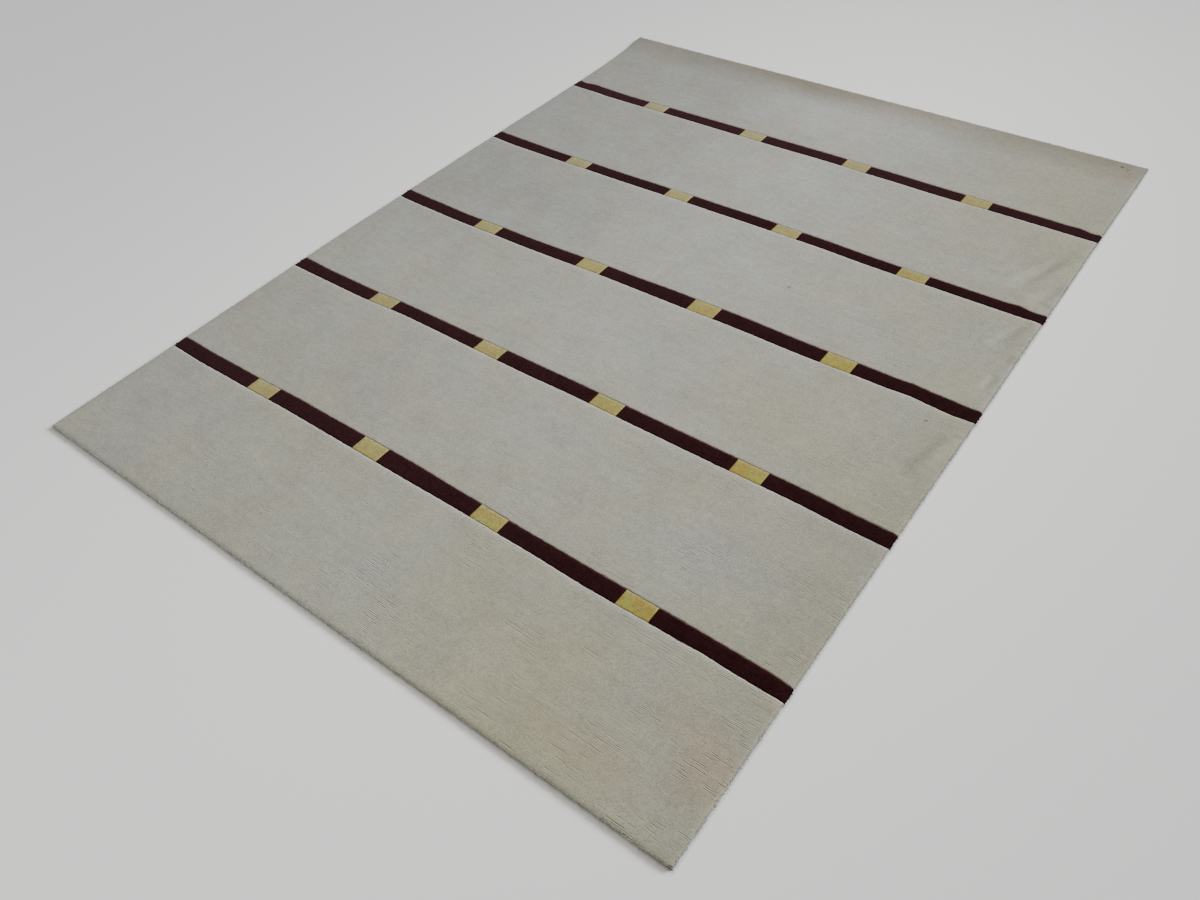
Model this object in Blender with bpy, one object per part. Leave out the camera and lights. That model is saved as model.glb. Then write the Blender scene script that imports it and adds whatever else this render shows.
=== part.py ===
"""Nepalese rug: one hand-knotted piece of wool lying flat on a floor, with five narrow
stripes of burgundy bars and gold blocks, each outlined by a carved line in the pile.

Metres, +Z up. X runs along the stripes, Y along the rug's length from its front edge to
its back edge, and the origin is on the floor under the middle of the rug."""

import math
from collections import namedtuple

import bmesh
import bpy

# Overall size.
WIDTH = 1.700
LENGTH = 2.300
THICKNESS = 0.012

# The carved line that the maker clips along each change of colour.
CARVED_WIDTH = 0.004
CARVED_DEPTH = 0.0025

# Pattern, in millimetres from the middle of the rug. Hand weaving leaves no line dead
# straight, so both lines of a stripe are given at ten stations from left to right, and
# then the left sides of its four gold blocks. The stripes run from front to back.
STATIONS = (-850, -740, -620, -415, -70, 90, 265, 430, 620, 850)
Stripe = namedtuple("Stripe", "front back block_lefts")
STRIPES = (
    Stripe(
        (-816, -818, -816, -812, -812, -811, -812, -815, -813, -814),
        (-779, -780, -778, -772, -769, -772, -775, -776, -776, -778),
        (-567, -213, 131, 496),
    ),
    Stripe(
        (-428, -428, -428, -420, -422, -419, -420, -420, -419, -423),
        (-389, -392, -391, -385, -382, -380, -381, -381, -380, -384),
        (-565, -212, 132, 494),
    ),
    Stripe(
        (-35, -38, -40, -38, -29, -28, -25, -27, -23, -23),
        (3, 0, -3, 1, 12, 17, 19, 16, 17, 16),
        (-557, -209, 129, 488),
    ),
    Stripe(
        (359, 354, 354, 356, 361, 363, 363, 359, 360, 361),
        (397, 392, 390, 392, 398, 401, 399, 395, 395, 396),
        (-550, -202, 135, 489),
    ),
    Stripe(
        (748, 746, 742, 743, 742, 744, 742, 739, 741, 740),
        (786, 783, 778, 780, 782, 783, 781, 779, 778, 776),
        (-543, -195, 141, 492),
    ),
)
BLOCK_WIDTH = 0.074

# The left edge draws in towards the back and flares out again at the corner: how far in
# it lies, in millimetres, at each place along it.
Pull = namedtuple("Pull", "y inset")
LEFT_PULLS = (
    Pull(-1150, 0),
    Pull(-250, 0),
    Pull(-50, 3),
    Pull(220, 8),
    Pull(445, 14),
    Pull(670, 20),
    Pull(895, 24),
    Pull(1045, 19),
    Pull(1125, 6),
    Pull(1150, 5),
)

# Small waves that stand off the floor beside the right edge.
Wave = namedtuple("Wave", "back_x back_y front_x front_y height")
WAVES = (
    Wave(0.838, 0.700, 0.782, 0.470, 0.0050),
    Wave(0.850, 0.365, 0.822, 0.190, 0.0040),
    Wave(0.840, -0.065, 0.794, -0.240, 0.0050),
)
WAVE_HALF_WIDTH = 0.030
WAVE_COLUMNS = 8
WAVE_START = 0.745

# Rounded edge, from the outline inwards: how far in each ring lies on the top and on the
# underside, and the height of the top there.
Ring = namedtuple("Ring", "top_inset under_inset height")
RINGS = (
    Ring(0.0000, 0.0020, 0.0035),
    Ring(0.0015, 0.0040, 0.0085),
    Ring(0.0060, 0.0080, 0.0112),
    Ring(0.0160, 0.0160, THICKNESS),
)

# Dyed wools, as linear colours, in the order of the mesh's material slots.
WOOLS = (
    ("cream wool", (0.42, 0.41, 0.37)),
    ("burgundy wool", (0.028, 0.011, 0.011)),
    ("gold wool", (0.36, 0.29, 0.13)),
)
CREAM, BURGUNDY, GOLD = range(len(WOOLS))

# The four edges wander inwards by up to EDGE_SWAY in a long and a short wave, each edge
# from a phase of its own.
EDGE_SWAY = 0.0012
LONG_WAVE, SHORT_WAVE, SHORT_SHARE = 5.1, 11.7, 0.6
FRONT_PHASE, BACK_PHASE, LEFT_PHASE, RIGHT_PHASE = 0.4, 2.1, 3.3, 1.2

# The pile's height sways by up to PILE_SWAY, in two slow waves that cross.
PILE_SWAY = 0.0004
Sway = namedtuple("Sway", "along_x along_y phase")
PILE_SWAYS = (Sway(7.3, 1.9, 0.0), Sway(-2.3, 4.1, 0.8))

# Grid rows between two stripes, so that the mesh can follow the drawn-in edge.
ROWS_IN_A_FIELD = 5

# A grid line lies between two guides, at a share of the way and with an offset. `carved`
# marks the bottom of a carved line, and `ring` is the line's place in the rounded edge.
Line = namedtuple("Line", "first second share offset under_offset carved ring")


def smooth(table, at):
    """Value of a table of (place, value) at a place, eased between its rows."""
    for (low, start), (high, end) in zip(table, table[1:]):
        if at <= high:
            share = max(0.0, (at - low) / (high - low))
            share = share * share * (3 - 2 * share)
            return start + (end - start) * share
    return table[-1][1]


def edge_sway(along, phase):
    """How far a straight edge wanders inwards at a place along it."""
    most = 1 + SHORT_SHARE
    wander = math.sin(LONG_WAVE * along + phase)
    wander += SHORT_SHARE * math.sin(SHORT_WAVE * along + 2 * phase)
    return EDGE_SWAY * (most - wander) / (2 * most)


def guides_along_y(x):
    """Y of the front edge, the front and back line of each stripe and the back edge here."""
    front = -LENGTH / 2 + edge_sway(x, FRONT_PHASE)
    back = LENGTH / 2 - edge_sway(x, BACK_PHASE)
    lines = [line for stripe in STRIPES for line in (stripe.front, stripe.back)]
    stripes = [smooth(tuple(zip(STATIONS, line)), 1000 * x) / 1000 for line in lines]
    return [front, *stripes, back]


def guides_along_x(y):
    """X of the left edge, both sides of the four gold blocks and the right edge here."""
    middles = [sum(stripe.front + stripe.back) / 2 / len(STATIONS) for stripe in STRIPES]
    left = -WIDTH / 2 + smooth(LEFT_PULLS, 1000 * y) / 1000 + edge_sway(y, LEFT_PHASE) / 2
    right = WIDTH / 2 - edge_sway(y, RIGHT_PHASE)
    sides = []
    for lefts in zip(*(stripe.block_lefts for stripe in STRIPES)):
        side = smooth(tuple(zip(middles, lefts)), 1000 * y) / 1000
        sides += [side, side + BLOCK_WIDTH]
    return [left, *sides, right]


def edge_lines(guide, sign):
    """Lines of the rounded edge, from the outline inwards."""
    return [
        Line(guide, guide, 0, sign * ring.top_inset, sign * ring.under_inset, False, index)
        for index, ring in enumerate(RINGS)
    ]


def carved_lines(guide):
    """The two lips and the bottom of one carved line."""
    half = CARVED_WIDTH / 2
    return [
        Line(guide, guide, 0, -half, -half, False, None),
        Line(guide, guide, 0, 0, 0, True, None),
        Line(guide, guide, 0, half, half, False, None),
    ]


def spaced_lines(first, second, count):
    """Plain lines evenly spaced between two guides."""
    return [
        Line(first, second, (step + 1) / (count + 1), 0, 0, False, None)
        for step in range(count)
    ]


def row_lines():
    """Grid lines across the rug, from front to back."""
    last = 2 * len(STRIPES) + 1
    lines = edge_lines(0, 1)
    for guide in range(1, last):
        if guide % 2:
            lines += spaced_lines(guide - 1, guide, ROWS_IN_A_FIELD)
        lines += carved_lines(guide)
    lines += spaced_lines(last - 1, last, ROWS_IN_A_FIELD)
    return lines + edge_lines(last, -1)[::-1]


def column_lines():
    """Grid lines along the rug, from left to right."""
    last = 2 * len(STRIPES[0].block_lefts) + 1
    lines = edge_lines(0, 1)
    for guide in range(1, last):
        if guide % 2:
            lines += spaced_lines(guide - 1, guide, 1)
        lines += carved_lines(guide)
    step = (WIDTH / 2 - RINGS[-1].top_inset - WAVE_START) / WAVE_COLUMNS
    for column in range(WAVE_COLUMNS):
        offset = WAVE_START + column * step - WIDTH / 2
        lines.append(Line(last, last, 0, offset, offset, False, None))
    return lines + edge_lines(last, -1)[::-1]


def place(line, guides, under):
    """Where a grid line lies among its guides."""
    start = guides[line.first]
    offset = line.under_offset if under else line.offset
    return start + (guides[line.second] - start) * line.share + offset


def lift(x, y):
    """How far the small waves raise the rug off the floor here."""
    total = 0.0
    for wave in WAVES:
        run_x, run_y = wave.front_x - wave.back_x, wave.front_y - wave.back_y
        length = math.hypot(run_x, run_y)
        along = ((x - wave.back_x) * run_x + (y - wave.back_y) * run_y) / length**2
        across = ((x - wave.back_x) * run_y - (y - wave.back_y) * run_x) / length
        share = abs(across) / WAVE_HALF_WIDTH
        if 0 < along < 1 and share < 1:
            total += wave.height * math.sin(math.pi * along) * (1 - share**2) ** 2
    return total


def pile_height(x, y, row, column, in_stripe):
    """Height of the pile above the underside, less the rounded edge and carved lines."""
    rings = [RINGS[line.ring].height for line in (row, column) if line.ring is not None]
    height = min(rings, default=THICKNESS)
    crest = math.prod(
        math.sin(sway.along_x * x + sway.along_y * y + sway.phase) for sway in PILE_SWAYS
    )
    height += PILE_SWAY * crest * height / THICKNESS
    if row.carved or (column.carved and in_stripe):
        height -= CARVED_DEPTH * height / THICKNESS
    return height


def surface(mesh, rows, columns, under):
    """One layer of vertices, as rows of columns, in the order of the grid lines."""
    middle_x = guides_along_y(0.0)
    layer = []
    for row in rows:
        guides_x = guides_along_x(place(row, middle_x, False))
        in_stripe = on_stripe(row)
        line_of_vertices = []
        for column in columns:
            x = place(column, guides_x, under)
            y = place(row, guides_along_y(x), under)
            z = lift(x, y)
            if not under:
                z += pile_height(x, y, row, column, in_stripe)
            line_of_vertices.append(mesh.verts.new((x, y, z)))
        layer.append(line_of_vertices)
    return layer


def on_stripe(row):
    """Whether this row lies on a stripe: not the lip of its carved line on the field's side."""
    if row.first != row.second or row.ring is not None:
        return False
    return row.offset >= 0 if row.first % 2 else row.offset <= 0


def colour_at(x, y):
    """Material index of the pile here: inside a stripe it is a gold block or a burgundy bar."""
    lines = guides_along_y(x)[1:-1]
    if not any(front < y < back for front, back in zip(lines[::2], lines[1::2])):
        return CREAM
    sides = guides_along_x(y)[1:-1]
    in_block = any(left < x < right for left, right in zip(sides[::2], sides[1::2]))
    return GOLD if in_block else BURGUNDY


def wool(name, colour):
    """A dull woollen finish of one colour."""
    material = bpy.data.materials.new(name)
    material.use_nodes = True
    shader = material.node_tree.nodes["Principled BSDF"]
    shader.inputs["Base Color"].default_value = (*colour, 1.0)
    shader.inputs["Roughness"].default_value = 0.95
    shader.inputs["Metallic"].default_value = 0.0
    return material


def build_rug():
    """The rug: a rounded, carved pile on a flat underside, as one closed mesh."""
    rows, columns = row_lines(), column_lines()
    mesh = bmesh.new()
    top = surface(mesh, rows, columns, under=False)
    under = surface(mesh, rows, columns, under=True)
    for i in range(len(rows) - 1):
        for j in range(len(columns) - 1):
            corners = ((i, j), (i, j + 1), (i + 1, j + 1), (i + 1, j))
            face = mesh.faces.new([top[a][b] for a, b in corners])
            centre = face.calc_center_median()
            face.material_index = colour_at(centre.x, centre.y)
            mesh.faces.new([under[a][b] for a, b in reversed(corners)])
    ring = [(0, j) for j in range(len(columns))]
    ring += [(i, len(columns) - 1) for i in range(1, len(rows))]
    ring += [(len(rows) - 1, j) for j in range(len(columns) - 2, -1, -1)]
    ring += [(i, 0) for i in range(len(rows) - 2, 0, -1)]
    for (a, b), (c, d) in zip(ring, ring[1:] + ring[:1]):
        mesh.faces.new((under[a][b], under[c][d], top[c][d], top[a][b]))
    data = bpy.data.meshes.new("rug")
    mesh.to_mesh(data)
    mesh.free()
    for name, colour in WOOLS:
        data.materials.append(wool(name, colour))
    rug = bpy.data.objects.new("rug", data)
    bpy.context.scene.collection.objects.link(rug)
    return rug


def main():
    for obj in list(bpy.data.objects):
        bpy.data.objects.remove(obj)
    build_rug()


main()
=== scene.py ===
"""Nepalese rug: hand-knotted wool pile in cream, burgundy and gold, on a knotted foundation.

Metres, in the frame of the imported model: X along the stripes, Y from the front edge to the
back edge, Z up from the floor. A place on the weave is given as (u, v): where it would lie
if the rug had come off the loom straight. lay() turns that into the place where it lies."""

import math
from collections import namedtuple

import bpy
import numpy as np
from mathutils import Matrix, Vector


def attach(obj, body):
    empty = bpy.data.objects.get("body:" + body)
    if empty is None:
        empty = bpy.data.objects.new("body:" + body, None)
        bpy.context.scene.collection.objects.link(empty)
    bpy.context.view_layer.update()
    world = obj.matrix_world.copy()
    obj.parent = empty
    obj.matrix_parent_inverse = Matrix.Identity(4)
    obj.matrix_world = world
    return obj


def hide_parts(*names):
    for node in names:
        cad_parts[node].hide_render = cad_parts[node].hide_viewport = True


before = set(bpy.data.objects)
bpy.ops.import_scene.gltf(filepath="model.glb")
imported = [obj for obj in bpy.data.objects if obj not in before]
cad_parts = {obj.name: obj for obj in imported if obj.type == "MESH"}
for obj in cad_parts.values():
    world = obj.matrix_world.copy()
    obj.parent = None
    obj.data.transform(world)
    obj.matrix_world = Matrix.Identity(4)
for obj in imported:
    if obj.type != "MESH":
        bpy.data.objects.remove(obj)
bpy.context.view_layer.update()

MM = 0.001

# Construction, in metres.
WIDTH = 1.700
LENGTH = 2.300
THICKNESS = 0.012
FOUNDATION = 0.003
BLOCK_WIDTH = 0.074
WEFT_ROW = 0.00345
KNOT_WIDTH = 0.0033
COLUMN = 2 * KNOT_WIDTH
GAP_LENGTH = 0.034
SEED = 11

# The front and back line of each stripe at ten stations from left to right, and the left
# sides of its gold blocks, in millimetres from the middle of the rug, as in the solid.
STATIONS = (-850, -740, -620, -415, -70, 90, 265, 430, 620, 850)
Stripe = namedtuple("Stripe", "front back block_lefts")
STRIPES = (
    Stripe(
        (-816, -818, -816, -812, -812, -811, -812, -815, -813, -814),
        (-779, -780, -778, -772, -769, -772, -775, -776, -776, -778),
        (-567, -213, 131, 496),
    ),
    Stripe(
        (-428, -428, -428, -420, -422, -419, -420, -420, -419, -423),
        (-389, -392, -391, -385, -382, -380, -381, -381, -380, -384),
        (-565, -212, 132, 494),
    ),
    Stripe(
        (-35, -38, -40, -38, -29, -28, -25, -27, -23, -23),
        (3, 0, -3, 1, 12, 17, 19, 16, 17, 16),
        (-557, -209, 129, 488),
    ),
    Stripe(
        (359, 354, 354, 356, 361, 363, 363, 359, 360, 361),
        (397, 392, 390, 392, 398, 401, 399, 395, 395, 396),
        (-550, -202, 135, 489),
    ),
    Stripe(
        (748, 746, 742, 743, 742, 744, 742, 739, 741, 740),
        (786, 783, 778, 780, 782, 783, 781, 779, 778, 776),
        (-543, -195, 141, 492),
    ),
)

# Where those lines would lie on the straight weave, in metres.
FRONTS = [sum(stripe.front) / len(STATIONS) * MM for stripe in STRIPES]
BACKS = [sum(stripe.back) / len(STATIONS) * MM for stripe in STRIPES]
BLOCKS = np.mean([stripe.block_lefts for stripe in STRIPES], axis=0) * MM

# How far the left edge draws in, in millimetres, at each place along it.
Pull = namedtuple("Pull", "y inset")
LEFT_PULLS = (
    Pull(-1150, 0),
    Pull(-250, 0),
    Pull(-50, 3),
    Pull(220, 8),
    Pull(445, 14),
    Pull(670, 20),
    Pull(895, 24),
    Pull(1045, 19),
    Pull(1125, 6),
    Pull(1150, 5),
)

# The four edges wander inwards by up to EDGE_SWAY in a long and a short wave, each edge
# from a phase of its own.
EDGE_SWAY = 0.0012
LONG_WAVE, SHORT_WAVE, SHORT_SHARE = 5.1, 11.7, 0.6
FRONT_PHASE, BACK_PHASE, LEFT_PHASE, RIGHT_PHASE = 0.4, 2.1, 3.3, 1.2

# Small waves beside the right edge, each along a line from back to front, in metres.
Wave = namedtuple("Wave", "back_x back_y front_x front_y half_width height")
WAVES = (
    Wave(0.838, 0.700, 0.782, 0.470, 0.030, 0.0050),
    Wave(0.850, 0.365, 0.822, 0.190, 0.030, 0.0040),
    Wave(0.840, -0.065, 0.794, -0.240, 0.030, 0.0050),
)

# Ripples in the pile itself there: furrows, with a height below zero, and a ridge.
RIPPLES = (
    Wave(0.828, 0.670, 0.730, 0.440, 0.026, -0.0042),
    Wave(0.842, 0.520, 0.794, 0.418, 0.020, -0.0036),
    Wave(0.828, 0.355, 0.774, 0.230, 0.018, -0.0032),
    Wave(0.828, 0.145, 0.820, 0.075, 0.014, -0.0022),
    Wave(0.846, -0.060, 0.794, -0.230, 0.022, 0.0021),
)

# The way from the rug to the window, and how much painted light or painted shade the pile
# gets for each unit of slope towards it or away from it.
TO_WINDOW = (0.9, 0.85, 0.64)
PAINTED_SLOPE_LIGHT = 0.7

# Where the rug lies unevenly, a few millimetres of a stripe's side are pulled off its line:
# the middle of the place and how far it reaches, in millimetres, and the pull in Y.
Bend = namedtuple("Bend", "x y reach_x reach_y pull")
BENDS = (
    Bend(685, -815, 35, 12, 1.9),
    Bend(845, -778, 25, 12, -3.6),
    Bend(740, -401, 45, 30, -1.7),
    Bend(700, -24, 32, 12, 3.8),
    Bend(798, -24, 32, 12, -3.0),
    Bend(697, 16, 24, 12, 2.8),
    Bend(815, 16, 26, 12, -1.8),
    Bend(-850, -17, 13, 30, 5.0),
    Bend(780, 395, 14, 12, 4.0),
    Bend(824, 395, 20, 12, -3.6),
    Bend(826, 361, 14, 10, 1.8),
    Bend(-812, 395, 18, 12, -2.4),
    Bend(-850, 378, 10, 30, 3.5),
    Bend(790, 777, 13, 12, 2.4),
    Bend(828, 777, 16, 12, -4.6),
    Bend(-690, 743, 30, 12, -1.8),
    Bend(-803, 784, 15, 12, -4.6),
    Bend(-760, 783, 14, 12, 2.4),
)

# The beater never packs a row dead straight: two short waves, in radians a metre along the
# row and from row to row, and how much of ROW_SWAY each takes.
RowWave = namedtuple("RowWave", "along across phase share")
ROW_WAVES = (RowWave(210, 27, 0, 1.0), RowWave(401, -61, 1, 0.7))
ROW_SWAY = 0.0003

# Relief of the pile's top: rows and the gaps between them, knots, hollows and stray tips.
RELIEF = {
    "Rib Height": 0.15 * MM, "Gap Depth": 0.8 * MM, "Gap Length": GAP_LENGTH,
    "Knot Height": 0.5 * MM, "Knot Width": KNOT_WIDTH, "Hollow Depth": 1.6 * MM,
    "Stray": 1.0 * MM,
}

# Section of the pile beside a clipped line and at the rug's own edge, in millimetres: how
# far in from the side, how far below the top, and how much of the knots' relief it has.
Step = namedtuple("Step", "inset drop relief")
CLIPPED = (Step(0.10, 2.8, 0.0), Step(0.45, 1.5, 0.0), Step(1.10, 0.6, 0.3), Step(2.30, 0.15, 0.8))
OUTLINE = (
    Step(0.0, 6.4, 0.0), Step(0.3, 4.4, 0.0), Step(1.2, 2.5, 0.2),
    Step(2.8, 1.2, 0.4), Step(5.2, 0.45, 0.7), Step(9.0, 0.1, 1.0),
)

# The pile's foot is sunk into the foundation, and stands back near the rug's own edge.
FOOT_SINK = 0.2 * MM
FOOT_INSET = 1.6 * MM
FOOT_REACH = 9 * MM

# How far in from a clipped line the next colour's fibres mingle, and clean wool with a painted
# highlight shows.
MINGLED_REACH = 2.5 * MM
CLEAN_HIGHLIGHT_REACH = 4.0 * MM

# Section of the foundation's rim, from its underside up, in millimetres.
RimStep = namedtuple("RimStep", "inset height")
RIM = (RimStep(2.2, 0.0), RimStep(1.2, 0.5), RimStep(0.9, 1.5), RimStep(1.2, 2.5), RimStep(2.2, 3.0))

# Two rows of cut yarn ends over the rug's edge: how high they start and how far in, in
# millimetres, and how far they rise for each unit outwards.
TuftRow = namedtuple("TuftRow", "height inset rise")
TUFT_ROWS = (TuftRow(5.2, 0.3, 0.55), TuftRow(8.0, 1.1, 1.3))
TUFT_SIZE = {"Length": 3.6 * MM, "Width": 2.6 * MM}
TUFT_INSET = 1.5 * MM
TUFT_SHIFT = 0.35 * MM
LEAN_SPREAD = 0.22

# The overcast cord: how far in and how high it lies, how far it stops short of the rug's
# ends, how much its wraps lean outwards, and the size of a wrap.
CORD_INSET = 3.2 * MM
CORD_HEIGHT = 3.0 * MM
CORD_SHORT = 3 * MM
CORD_LEAN = 0.25
WRAP_SIZE = {"Half Width": 2.6 * MM, "Half Height": 1.6 * MM, "Yarn": 1.15 * MM}

# Small spots and stains: where they lie and how far they reach, in millimetres.
Mark = namedtuple("Mark", "x y reach_x reach_y share colour")
MARKS = (
    Mark(296, 177, 5, 3, 0.85, "#4A3B33"),
    Mark(764, -71, 5, 3, 0.85, "#54443A"),
    Mark(762, -79, 3, 2, 0.50, "#54443A"),
    Mark(790, 1120, 7, 6, 0.80, "#5B4B40"),
    Mark(806, 1112, 5, 5, 0.70, "#5B4B40"),
    Mark(815, 1085, 22, 20, 0.40, "#8A7257"),
    Mark(838, -82, 14, 9, 0.45, "#84705A"),
    Mark(795, -110, 70, 28, 0.13, "#7F7967"),
    Mark(838, 205, 12, 22, 0.35, "#857B66"),
    Mark(836, 432, 22, 12, 0.30, "#7F7A6A"),
    Mark(847, -1149, 9, 7, 0.85, "#432A24"),
    Mark(826, -1149, 12, 4, 0.50, "#7A5C4C"),
    Mark(520, 150, 190, 1.6, 0.30, "#6E6A60"),
    Mark(730, -930, 90, 60, 0.22, "#A48F78"),
    Mark(800, -990, 60, 80, 0.34, "#A48F78"),
    Mark(640, -1075, 160, 45, 0.22, "#A48F78"),
    Mark(800, 1060, 60, 55, 0.30, "#A29284"),
    Mark(610, 560, 140, 60, 0.22, "#A59E84"),
    Mark(-150, -300, 120, 60, 0.16, "#A59E84"),
)

# Wide patches of painted light and painted shade over the cream, with soft rims.
PAINTED_LIGHT_AND_SHADE = (
    Mark(30, 970, 330, 170, 0.27, "#C6C8C8"),
    Mark(80, 640, 340, 150, 0.13, "#C6C8C8"),
    Mark(90, 250, 350, 280, 0.09, "#C6C6C0"),
    Mark(0, -220, 260, 140, 0.09, "#C6C6C0"),
    Mark(-650, -260, 180, 150, 0.08, "#C6C6C0"),
    Mark(-740, -960, 200, 240, 0.30, "#A5A6A9"),
    Mark(-600, 170, 340, 170, 0.12, "#7D7D7B"),
    Mark(-560, 1110, 340, 60, 0.20, "#7D7C78"),
    Mark(-340, -640, 180, 190, 0.13, "#85837C"),
    Mark(800, -600, 140, 480, 0.18, "#85806E"),
    Mark(810, -150, 80, 120, 0.09, "#85806E"),
    Mark(350, -850, 480, 200, 0.07, "#85806E"),
)

# A line across the rug, in metres from the middle: left of it, the back half is greyer.
GREYER_LEFT_OF = -0.245

# Camera, worked out from the corners of the pile's top in the picture.
CAMERA_PLACE = Vector((1.1758, -1.5997, 1.4942 + THICKNESS))
CAMERA_RIGHT = Vector((0.79633, 0.60150, -0.06372))
CAMERA_UP = Vector((-0.40152, 0.60446, 0.68805))
LENS_MM = 29.45
SENSOR_MM = 36


def eased(table, at):
    """Values of a table of (place, value) at these places, eased between its rows."""
    places, values = np.array(table).T
    start = np.clip(np.searchsorted(places, at) - 1, 0, len(places) - 2)
    share = np.clip((at - places[start]) / (places[start + 1] - places[start]), 0, 1)
    share = share * share * (3 - 2 * share)
    return values[start] + (values[start + 1] - values[start]) * share


def edge_sway(along, phase):
    """How far a straight edge wanders inwards."""
    most = 1 + SHORT_SHARE
    wander = np.sin(LONG_WAVE * along + phase)
    wander = wander + SHORT_SHARE * np.sin(SHORT_WAVE * along + 2 * phase)
    return EDGE_SWAY * (most - wander) / (2 * most)


def between(guides, places, at):
    """Straight-line value at `at` between guides that stand at fixed places; one guide a row."""
    start = np.clip(np.searchsorted(places, at) - 1, 0, len(places) - 2)
    share = (at - places[start]) / (places[start + 1] - places[start])
    pick = np.arange(len(at))
    low, high = guides[start, pick], guides[start + 1, pick]
    return low + (high - low) * share


def lay(u, v):
    """Where places on the straight weave lie on the floor."""
    u, v = np.atleast_1d(u).astype(float), np.atleast_1d(v).astype(float)
    left = -WIDTH / 2 + eased(LEFT_PULLS, v / MM) * MM + edge_sway(v, LEFT_PHASE) / 2
    right = WIDTH / 2 - edge_sway(v, RIGHT_PHASE)
    sides, places = [left], [-WIDTH / 2]
    middles = [(front + back) / 2 for front, back in zip(FRONTS, BACKS)]
    for number, block in enumerate(BLOCKS):
        lefts = [stripe.block_lefts[number] * MM for stripe in STRIPES]
        side = eased(tuple(zip(middles, lefts)), v)
        sides += [side, side + BLOCK_WIDTH]
        places += [block, block + BLOCK_WIDTH]
    x = between(np.array([*sides, right]), np.array([*places, WIDTH / 2]), u)
    guides, places = [-LENGTH / 2 + edge_sway(x, FRONT_PHASE)], [-LENGTH / 2]
    for stripe, front, back in zip(STRIPES, FRONTS, BACKS):
        guides += [eased(tuple(zip(STATIONS, line)), x / MM) * MM for line in stripe[:2]]
        places += [front, back]
    guides.append(LENGTH / 2 - edge_sway(x, BACK_PHASE))
    y = between(np.array(guides), np.array([*places, LENGTH / 2]), v)
    for bend in BENDS:
        away = ((x / MM - bend.x) / bend.reach_x) ** 2 + ((y / MM - bend.y) / bend.reach_y) ** 2
        y = y + bend.pull * MM * np.exp(-away)
    for wave in ROW_WAVES:
        sway = np.sin(wave.along * x + wave.across * v + wave.phase)
        y = y + ROW_SWAY * wave.share * sway
    return x, y


def swell_of(waves, x, y):
    """Height of all these waves at a place: each swells along its length and across it."""
    total = np.zeros_like(x)
    for wave in waves:
        run_x, run_y = wave.front_x - wave.back_x, wave.front_y - wave.back_y
        length = math.hypot(run_x, run_y)
        along = ((x - wave.back_x) * run_x + (y - wave.back_y) * run_y) / length**2
        across = ((x - wave.back_x) * run_y - (y - wave.back_y) * run_x) / length
        share = np.clip(np.abs(across) / wave.half_width, 0, 1)
        swell = np.sin(math.pi * np.clip(along, 0, 1)) * (1 - share**2) ** 2
        total += wave.height * swell
    return total


def lift(x, y):
    """How far the small waves raise the rug off the floor."""
    return swell_of(WAVES, x, y)


def linear(hex_colour):
    """A colour written as sRGB hex, as linear RGBA."""
    parts = [int(hex_colour[i : i + 2], 16) / 255 for i in (1, 3, 5)]
    return (*[p / 12.92 if p <= 0.04045 else ((p + 0.055) / 1.055) ** 2.4 for p in parts], 1.0)


# The kinds of node that come up most often.
MATH = "ShaderNodeMath"
VECTOR = "ShaderNodeVectorMath"
NOISE = "ShaderNodeTexNoise"
RANGE = "ShaderNodeMapRange"
MIX = "ShaderNodeMix"
SPLIT = "ShaderNodeSeparateXYZ"
JOIN = "ShaderNodeCombineXYZ"
BUMP = "ShaderNodeBump"
STORED = "GeometryNodeInputNamedAttribute"
COORDS = "ShaderNodeTexCoord"


def add(tree, kind, inputs=None, **settings):
    """Adds a node with its settings. Inputs are given in order, or each by its name or number.
    Each is set to a value, or linked to a socket or to another node's first output."""
    node = tree.nodes.new(kind)
    for name, value in settings.items():
        setattr(node, name, value)
    inputs = dict(enumerate(inputs)) if isinstance(inputs, tuple) else inputs
    for name, value in (inputs or {}).items():
        if isinstance(value, bpy.types.Node):
            value = value.outputs[0]
        if isinstance(value, bpy.types.NodeSocket):
            tree.links.new(value, node.inputs[name])
        else:
            node.inputs[name].default_value = value
    return node


# Sheets of knots, as plain meshes

Sheet = namedtuple("Sheet", "points faces weave relief mingled clean nap")


def side_steps(kind, start, sign):
    """Grid lines of one side of a block of pile: (place, drop, relief)."""
    return [(start + sign * step.inset * MM, step.drop * MM, step.relief) for step in kind]


def grid_lines(low, high, low_kind, high_kind, spacing):
    """Grid lines from side to side: the steps of each side with even lines between them."""
    least = 0.2 * spacing
    count = max(2, round((high - low) / spacing))
    inner = np.linspace(low, high, count + 1)
    low_room, high_room = low_kind[-1].inset * MM, high_kind[-1].inset * MM
    inner = inner[(inner > low + low_room + least) & (inner < high - high_room - least)]
    return [
        *side_steps(low_kind, low, 1),
        *[(place, 0.0, 1.0) for place in inner],
        *side_steps(high_kind, high, -1)[::-1],
    ]


def drawn_in(places, low, high, low_kind, high_kind):
    """The same grid lines at the foot of the pile, which stands back at the rug's own edge."""
    near_low = np.clip(1 - (places - low) / FOOT_REACH, 0, 1) * (low_kind is OUTLINE)
    near_high = np.clip(1 - (high - places) / FOOT_REACH, 0, 1) * (high_kind is OUTLINE)
    return places + FOOT_INSET * (near_low - near_high)


def grid_faces(wide, deep):
    """Numbers of a grid's points, its faces seen from above, and its rim's points in order."""
    index = np.arange(wide * deep).reshape(deep, wide)
    corners = index[:-1, :-1], index[:-1, 1:], index[1:, 1:], index[1:, :-1]
    rim = index[0, :-1], index[:-1, -1], index[-1, :0:-1], index[:0:-1, 0]
    return index, np.stack([corner.ravel() for corner in corners], axis=1), np.concatenate(rim)


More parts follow.
